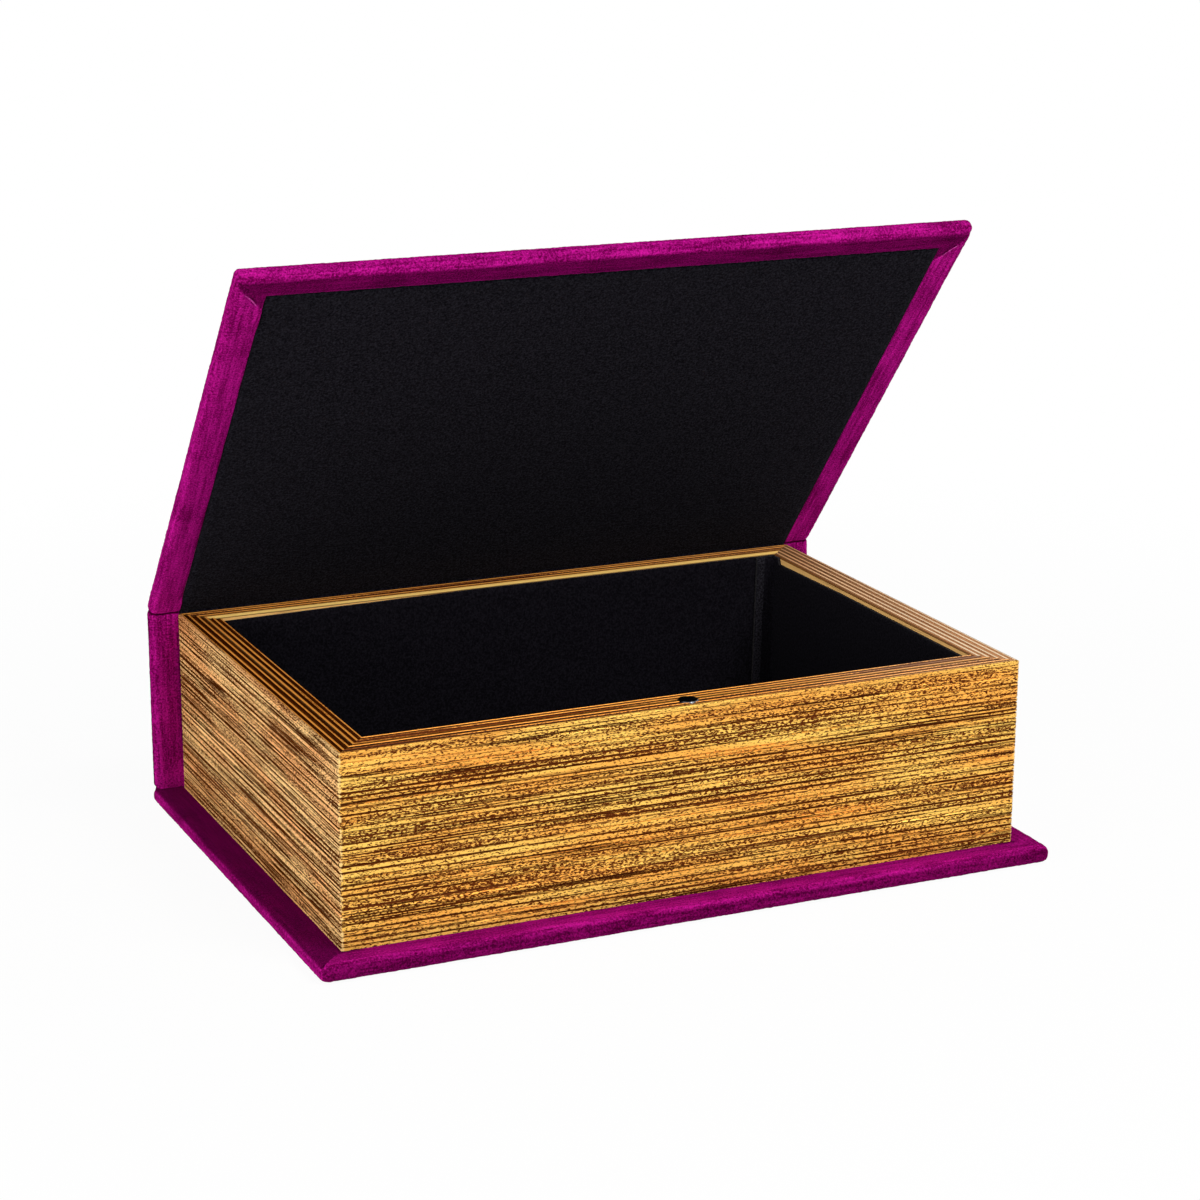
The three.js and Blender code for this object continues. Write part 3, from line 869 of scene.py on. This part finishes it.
def makeJacket(look):
    lip, hinge = look["lip"], look["creaseFine"]
    sideStops = [-windowHalf, -windowHalf + lip, windowHalf - lip, windowHalf]
    xs = coverLines(-halfWidth, halfWidth, sideStops, look)
    lineStops = [windowFoot, windowFoot + lip, -hinge, hinge, windowEnd - lip, windowEnd]
    ys = coverLines(-spineLength, lidLength, lineStops, look)
    window = (-windowHalf + lip, windowHalf - lip, windowFoot + lip, windowEnd - lip)
    net = CoverNet(xs, ys, window, look, look["lidCornerRadius"], jacketDepth, fineOnJacket)
    flat = np.array(net.spots)
    napAndShade = jacketNapAndShade(flat, napAndShadeLook)
    # The case has no edge at the foot, so that one is put far away
    edge = edgePlaces(flat, (-halfWidth, -10 * spineLength), (halfWidth, lidLength))
    places = flat.copy()
    # The ends are drawn in at the crease
    drawn = look["creasePinch"] * peak(flat[:, 1], look["creaseEndWidth"])
    atEnd = smoothStep(np.abs(flat[:, 0]), halfWidth - look["creaseEndReach"], halfWidth)
    flat[:, 0] -= np.sign(flat[:, 0]) * drawn * atEnd
    cut, cutFaces = cutEdges(seamLook)
    faces = net.faces + [[spot + len(flat) for spot in face] for face in cutFaces]
    flat, places, edge = (np.concatenate([have, cut]) for have in (flat, places, edge))
    napAndShade = np.concatenate([napAndShade, np.ones(len(cut))])
    jacket = makePiece("case_velvet", folded(flat, look["creaseReach"]), faces, velvet)
    jacket.data.materials.append(velvetCut)
    jacket.data.polygons.foreach_set("material_index", [0] * len(net.faces) + [1] * len(cutFaces))
    giveClothPlaces(jacket, places, edge, napAndShade)
    raiseTufts(jacket, look, seed=1)
    return jacket


def jacketNapAndShade(flat, look):
    # Painted shade: the strip turned in along the lid's free edge, the outer faces and the spine are
    # darkened, and the crease gets a dark line
    x, y, depth = np.abs(flat[:, 0]), flat[:, 1], flat[:, 2]
    outer, way, _ = seamLine(seamLook)
    past = (y - outer[1]) * way[0] - (x - outer[0]) * way[1]
    strip = smoothStep(-past, 0, look["stripSeam"]) * smoothStep(lidLength - y, *look["stripEdge"])
    strip *= 1 - smoothStep(depth, *look["insideDepth"])
    strip *= smoothStep(y, lidLength / 2, lidLength / 2 + mm)
    loss = look["outside"] * smoothStep(depth, look["outsideDepth"], coverThickness)
    loss += look["spine"] * smoothStep(-y, 0, mm)
    crease = look["crease"] * peak(y, look["creaseWidth"])
    return (1 - look["frontStrip"] * strip) * (1 - loss) - crease


def cutEdges(look):
    # The cut edge of the cloth shows as a thin pale line along each corner seam
    outer, way, length = seamLine(look)
    across = np.array([-way[1], way[0]])
    if across[1] < 0:
        across = -across
    begin, end = look["cutEdgeShows"]
    sides, rise = look["cutEdgeHeight"]
    steps, top, tip = look["cutEdgeSteps"], look["cutEdgeTop"], look["cutEdgeTip"]
    points, faces = [], []
    for side in (-1, 1):
        first = len(points)
        for k in range(steps + 1):
            share = k / steps
            thin = math.sqrt(math.sin(math.pi * min(max(share, tip), 1 - tip)))
            bow = look["cutEdgeBow"] * math.sin(math.pi * share)
            spot = outer + way * length * (begin + (end - begin) * share)
            for off, up in ((-1, 0), (-top, 1), (top, 1), (1, 0)):
                at = spot + across * (off * look["cutEdgeHalf"] * thin + bow)
                points.append((side * at[0], at[1], -look["step"] * (sides + rise * up * thin)))
        for k in range(steps):
            for row in range(3):
                a = first + 4 * k + row
                face = (a, a + 1, a + 5, a + 4)
                faces.append(face if side < 0 else face[::-1])
    return np.array(points), faces


jacket = makeJacket(clothLook)
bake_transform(jacket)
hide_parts("spine_velvet", "hinge_velvet", "lid_velvet")
print("case velvet:", len(jacket.data.polygons), "faces")


def baseDepth(x, y, side, insets):
    look = clothLook
    inX, fromFront, fromBack = insets
    around = min(inX, fromFront, fromBack) if side == "out" else min(inX, fromFront)
    fall = edgeFall(around, look["edgeRadius"])
    return coverThickness - fall if side == "out" else fall


def makeBaseVelvet(look):
    turnIn = look["baseTurnIn"]
    xs = coverLines(-halfWidth, halfWidth, [], look)
    ys = coverLines(baseLow.y, baseHigh.y, [], look)
    window = (xs[0] + turnIn, xs[-1] - turnIn, ys[0] + turnIn, ys[-1] - turnIn)
    net = CoverNet(xs, ys, window, look, look["baseCornerRadius"], baseDepth, fineOnBase)
    flat = np.array(net.spots)
    points = np.stack([flat[:, 0], flat[:, 1], baseHigh.z - flat[:, 2]], axis=1)
    piece = makePiece("base_cover_velvet", points, net.faces, velvet)
    edge = edgePlaces(flat, (-halfWidth, baseLow.y), (halfWidth, baseHigh.y))
    giveClothPlaces(piece, flat, edge, baseNapAndShade(flat, napAndShadeLook))
    raiseTufts(piece, look, seed=5)
    return piece


def fineOnBase(side, x, y):  # the mitred corners beside the pages
    reach = clothLook["mitreReach"]
    return side == "in" and x > halfWidth - reach and (y < baseLow.y + reach or y > baseHigh.y - reach)


def baseNapAndShade(flat, look):
    # Painted light and shade: the side ledges are darker than the front one, the left most, for the
    # block's shadow, with a painted shadow at the foot of the walls and a painted highlight along the
    # front ledge's ridge
    inX, inFront = halfWidth - np.abs(flat[:, 0]), flat[:, 1] - baseLow.y
    onSide = smoothStep(inFront - inX, 0, look["mitreWidth"])
    ledge = 1 - smoothStep(flat[:, 2], *look["ledgeDepth"])
    onLeft = smoothStep(-flat[:, 0], -mm, mm)
    onLeft = look["rightLedge"] + (1 - look["rightLedge"]) * onLeft
    sideLoss = look["sideLedge"] * ledge * onLeft + look["sideEdge"] * (1 - ledge)
    frontLoss = look["frontLedge"] * ledge + look["frontEdge"] * (1 - ledge)
    frontLoss -= look["ridgeShine"] * peak(inFront - look["ridgeAt"], look["ridgeWidth"])
    fromWall = np.abs(blockLow.y - flat[:, 1])
    frontLoss += look["foot"] * np.exp(-fromWall / look["footReach"]) * ledge
    return 1 - onSide * sideLoss - (1 - onSide) * frontLoss


baseCover = makeBaseVelvet(clothLook)
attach(baseCover, "box")
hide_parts("base_velvet")
print("base velvet:", len(baseCover.data.polygons), "faces")


# Felt linings

liningLook = {
    "thickness": 1.0 * mm,
    "recess": 0.2 * mm,
    "spacing": 2.5 * mm,
    "creaseSpacing": 0.3 * mm,
    "creaseReach": 3 * mm,
    "wave": 0.06 * mm,
    "wavesPerMetre": 60,
    "cut": (0.238, 0.222),
}


def makeLining(look):
    xs = evenLines(-liningHalf, liningHalf, look["spacing"])
    reach = look["creaseReach"]
    top = lidLength - clothLook["lidMargin"]
    ys = evenLines(windowFoot, -reach, look["spacing"])
    ys += evenLines(-reach, reach, look["creaseSpacing"])[1:-1]
    ys += evenLines(reach, top, look["spacing"])
    flat = np.array([(x, y, look["recess"]) for x in xs for y in ys])
    flat[:, 2] += look["wave"] * noiseAt(flat, look["wavesPerMetre"], seed=9)
    flat[:, 2] += clothLook["creasePinch"] * peak(flat[:, 1], clothLook["creaseWidth"])
    points = folded(flat, clothLook["creaseReach"])
    piece = makePiece("lid_and_hinge_felt", points, gridFaces(len(xs), len(ys)), felt)
    giveThickness(piece, look["thickness"])
    return piece


lining = makeLining(liningLook)
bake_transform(lining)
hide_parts("lid_lining", "hinge_lining")
print("lid lining made")

wellLook = {
    "thickness": 1.0 * mm,
    "spacing": 3 * mm,
    "wave": 0.12 * mm,
    "wavesPerMetre": 45,
    "flapBend": 1.0 * mm,
    "bendSteps": 4,
    "flapRise": 3 * mm,
    "flapSlant": 1.6 * mm,  # how much narrower the flap is at the top
    "flapBrushed": 3.2 * mm,  # how wide its pale brushed edge is
    "flapSlack": 0.1 * mm,
    "flapRoot": 2 * mm,  # how far from the corner it starts to slant
    "backProud": 0.4 * mm,  # how far the back felt stands above the rim
    "backDip": 1.0 * mm,  # how much lower it is at its left-hand end
    "backDipFrom": -20 * mm,
    "rightDip": 0.8 * mm,  # and the right felt before it rises to the flap
    "rightDipFrom": 18 * mm,
}
wellMiddle = np.array([0.0, (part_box("floor_felt")[0].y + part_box("floor_felt")[1].y) / 2])


def wallFelt(name, plan, low, tops, look, seed):
    # A felt strip glued up the wall along the plan, facing the middle of the well
    stations, heights = [], []
    for start, end, top, nextTop in zip(plan, plan[1:], tops, tops[1:]):
        count = max(1, round(math.dist(start, end) / look["spacing"]))
        for k in range(count):
            stations.append(np.array(start) + (np.array(end) - np.array(start)) * k / count)
            heights.append(top + (nextTop - top) * k / count)
    stations.append(np.array(plan[-1]))
    heights.append(tops[-1])
    rows = round((tops[0] - low) / look["spacing"])
    points = np.array([
        (*station, low + (top - low) * row / rows)
        for station, top in zip(stations, heights) for row in range(rows + 1)
    ])
    inward = wellMiddle - points[:, :2]
    inward /= np.linalg.norm(inward, axis=1)[:, None]
    points[:, :2] += inward * (look["wave"] * noiseAt(points, look["wavesPerMetre"], seed))[:, None]
    faces = gridFaces(len(stations), rows + 1)
    alongWay, toMiddle = stations[1] - stations[0], wellMiddle - stations[0]
    if alongWay[1] * toMiddle[0] <= alongWay[0] * toMiddle[1]:
        faces = [face[::-1] for face in faces]
    piece = makePiece(name, points, faces, feltSmooth)
    piece.data.materials.append(feltCut)
    giveThickness(piece, look["thickness"])
    length = sum(math.dist(a, b) for a, b in zip(plan, plan[1:]))
    declareFelt(piece)
    return piece


def declareFelt(piece):
    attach(piece, "box")
    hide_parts(piece.name.replace("_lining", "_felt"))


def lineThreeWalls(look):
    frontLow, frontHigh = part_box("front_felt")
    backLow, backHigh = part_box("back_felt")
    leftLow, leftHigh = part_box("left_felt")
    low, top = frontLow.z, frontHigh.z
    plan = [(frontLow.x, frontHigh.y), (frontHigh.x, frontHigh.y)]
    wallFelt("front_lining", plan, low, [top] * 2, look, seed=21)
    plan = [(x, backLow.y) for x in (backHigh.x, look["backDipFrom"], backLow.x)]
    proud = backHigh.z + look["backProud"]
    wallFelt("back_lining", plan, low, [proud, proud, proud - look["backDip"]], look, seed=22)
    plan = [(leftHigh.x, leftHigh.y), (leftHigh.x, leftLow.y)]
    wallFelt("left_lining", plan, low, [top] * 2, look, seed=23)


def lineRightWall(look):
    # The right felt turns the back corner and ends in a flap on the back wall
    rightLow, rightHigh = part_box("right_felt")
    low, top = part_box("front_felt")[0].z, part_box("front_felt")[1].z
    face, flapFace = -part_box("left_felt")[1].x, rightHigh.y - look["thickness"]
    bend, rise = look["flapBend"], look["flapRise"]
    ends = (rightLow.y, look["rightDipFrom"], flapFace - rise - bend, flapFace - rise)
    plan = [(face, y) for y in ends]
    proud = rightHigh.z + look["backProud"]
    tops = [top, top, top - look["rightDip"], proud]
    for k in range(look["bendSteps"] + 1):
        turn = math.pi / 2 * k / look["bendSteps"]
        plan.append((face - bend * (1 - math.cos(turn)), flapFace - bend * (1 - math.sin(turn))))
        tops.append(proud)
    brushedTo = rightLow.x + look["flapBrushed"]
    plan += [(brushedTo, flapFace), (rightLow.x, flapFace)]
    tops += [proud] * 2
    piece = wallFelt("right_lining", plan, low, tops, look, seed=24)

    def slant(z):
        return look["flapSlant"] * (z - low) / (rightHigh.z - low)

    for spot in piece.data.vertices:
        onFlap = 1 - float(smoothStep(spot.co.x, brushedTo, rightHigh.x - look["flapRoot"]))
        spot.co.x += onFlap * slant(spot.co.z)
    piece.data.materials.append(feltBrushed)
    for polygon in piece.data.polygons:
        onBrushed = polygon.center.x < brushedTo + slant(polygon.center.z) - look["flapSlack"]
        if onBrushed and polygon.normal.y < -0.5:  # its front, not its back or its edges
            polygon.material_index = len(piece.data.materials) - 1


def layFloorFelt(look):
    low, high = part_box("floor_felt")
    xs = evenLines(low.x, high.x, look["spacing"])
    ys = evenLines(low.y, high.y, look["spacing"])
    points = np.array([(x, y, high.z) for x in xs for y in ys])
    points[:, 2] += look["wave"] * noiseAt(points, look["wavesPerMetre"], seed=25)
    piece = makePiece("floor_lining", points, gridFaces(len(xs), len(ys)), feltSmooth)
    piece.data.materials.append(feltCut)
    giveThickness(piece, look["thickness"])
    declareFelt(piece)


lineThreeWalls(wellLook)
lineRightWall(wellLook)
layFloorFelt(wellLook)
print("well lined")


# Camera and lights

photoView = {
    "at": Vector((-0.4023, -0.8864, 0.3601)),
    "yaw": 24.59,
    "pitch": 15.87,
    "roll": 0.31,
    "lens": 89.58,
    "sensor": 36.0,
}


def makeCamera(view):
    yaw, pitch, roll = (math.radians(view[key]) for key in ("yaw", "pitch", "roll"))
    forward = Vector((math.sin(yaw) * math.cos(pitch), math.cos(yaw) * math.cos(pitch), -math.sin(pitch)))
    right = Vector((math.cos(yaw), -math.sin(yaw), 0))
    up = right.cross(forward)
    tiltedRight = math.cos(roll) * right + math.sin(roll) * up
    tiltedUp = math.cos(roll) * up - math.sin(roll) * right
    data = bpy.data.cameras.new("photo_camera")
    data.lens = view["lens"]
    data.sensor_width = view["sensor"]
    camera = bpy.data.objects.new("photo_camera", data)
    turn = Matrix((tiltedRight, tiltedUp, -forward)).transposed()
    camera.matrix_world = Matrix.Translation(view["at"]) @ turn.to_4x4()
    bpy.context.scene.collection.objects.link(camera)
    bpy.context.scene.camera = camera


lampTarget = Vector((0, 0, 0.08))
lampLook = {
    "key": {"at": (0.46, -0.84, 1.16), "size": 0.6, "watts": 14},
    "left": {"at": (-1.3, -0.35, 0.24), "size": 0.7, "watts": 12, "mirrored": False},
    "front": {"at": (-0.2, -1.6, 0.5), "size": 0.8, "watts": 4},
}
worldStrength = 0.3


def makeLamp(name, look):
    data = bpy.data.lights.new(name, "AREA")
    data.energy = look["watts"]
    data.size = look["size"]
    lamp = bpy.data.objects.new(name, data)
    lamp.location = look["at"]
    lamp.visible_glossy = look.get("mirrored", True)
    aim = lampTarget - lamp.location
    lamp.rotation_mode = "QUATERNION"
    lamp.rotation_quaternion = aim.to_track_quat("-Z", "Y")
    bpy.context.scene.collection.objects.link(lamp)


def makeWorld(strength):
    world = bpy.data.worlds.new("studio")
    world.use_nodes = True
    studio = Nodes(world.node_tree)
    background = studio.tree.nodes["Background"]
    background.inputs["Color"].default_value = (1, 1, 1, 1)
    level = studio.band(studio.seenDirectly(), 0.0, 1.0, strength, 1.0)
    studio.link(level, background.inputs["Strength"])
    bpy.context.scene.world = world


floorLook = {
    "colour": (0.86, 0.86, 0.86, 1.0),
    "glow": 0.95,  # the share of plain white that the camera sees beside the object
    "near": 0.22,
    "far": 0.6,
    "half": 6.0,
    "drop": 0.2 * mm,  # below the case
    "specklesPerMetre": 40,
    "speckleLift": 1.02,
}


def makeFloor(look):
    finish = Finish("pale floor")
    pale = look["colour"]
    light = tuple(part * look["speckleLift"] for part in pale[:3]) + (1.0,)
    pale = finish.mix(finish.grain((look["specklesPerMetre"],) * 3), pale, light)
    finish.shade(Base_Color=pale, Roughness=0.9, Specular_IOR_Level=0.1)
    away = finish.add("ShaderNodeVectorMath", operation="LENGTH")
    finish.link(finish.place, away.inputs["Vector"])
    glow = finish.band(away.outputs["Value"], look["near"], look["far"], look["glow"], 1.0)
    blend = finish.add("ShaderNodeMixShader")
    finish.link(finish.times(finish.seenDirectly(), glow), blend.inputs["Fac"])
    finish.link(finish.shader.outputs["BSDF"], blend.inputs[1])
    finish.link(finish.add("ShaderNodeEmission").outputs["Emission"], blend.inputs[2])
    finish.link(blend.outputs["Shader"], finish.tree.nodes["Material Output"].inputs["Surface"])
    half = look["half"]
    corners = [(-half, -half, 0), (half, -half, 0), (half, half, 0), (-half, half, 0)]
    floor = makePiece("floor", corners, [(0, 1, 2, 3)], finish.material)
    floor.location.z = -look["drop"]


makeCamera(photoView)
for lampName, lamp in lampLook.items():
    makeLamp(lampName + "_lamp", lamp)
makeWorld(worldStrength)
makeFloor(floorLook)
bpy.context.scene.view_settings.view_transform = "Standard"
print("camera, lamps and floor made")
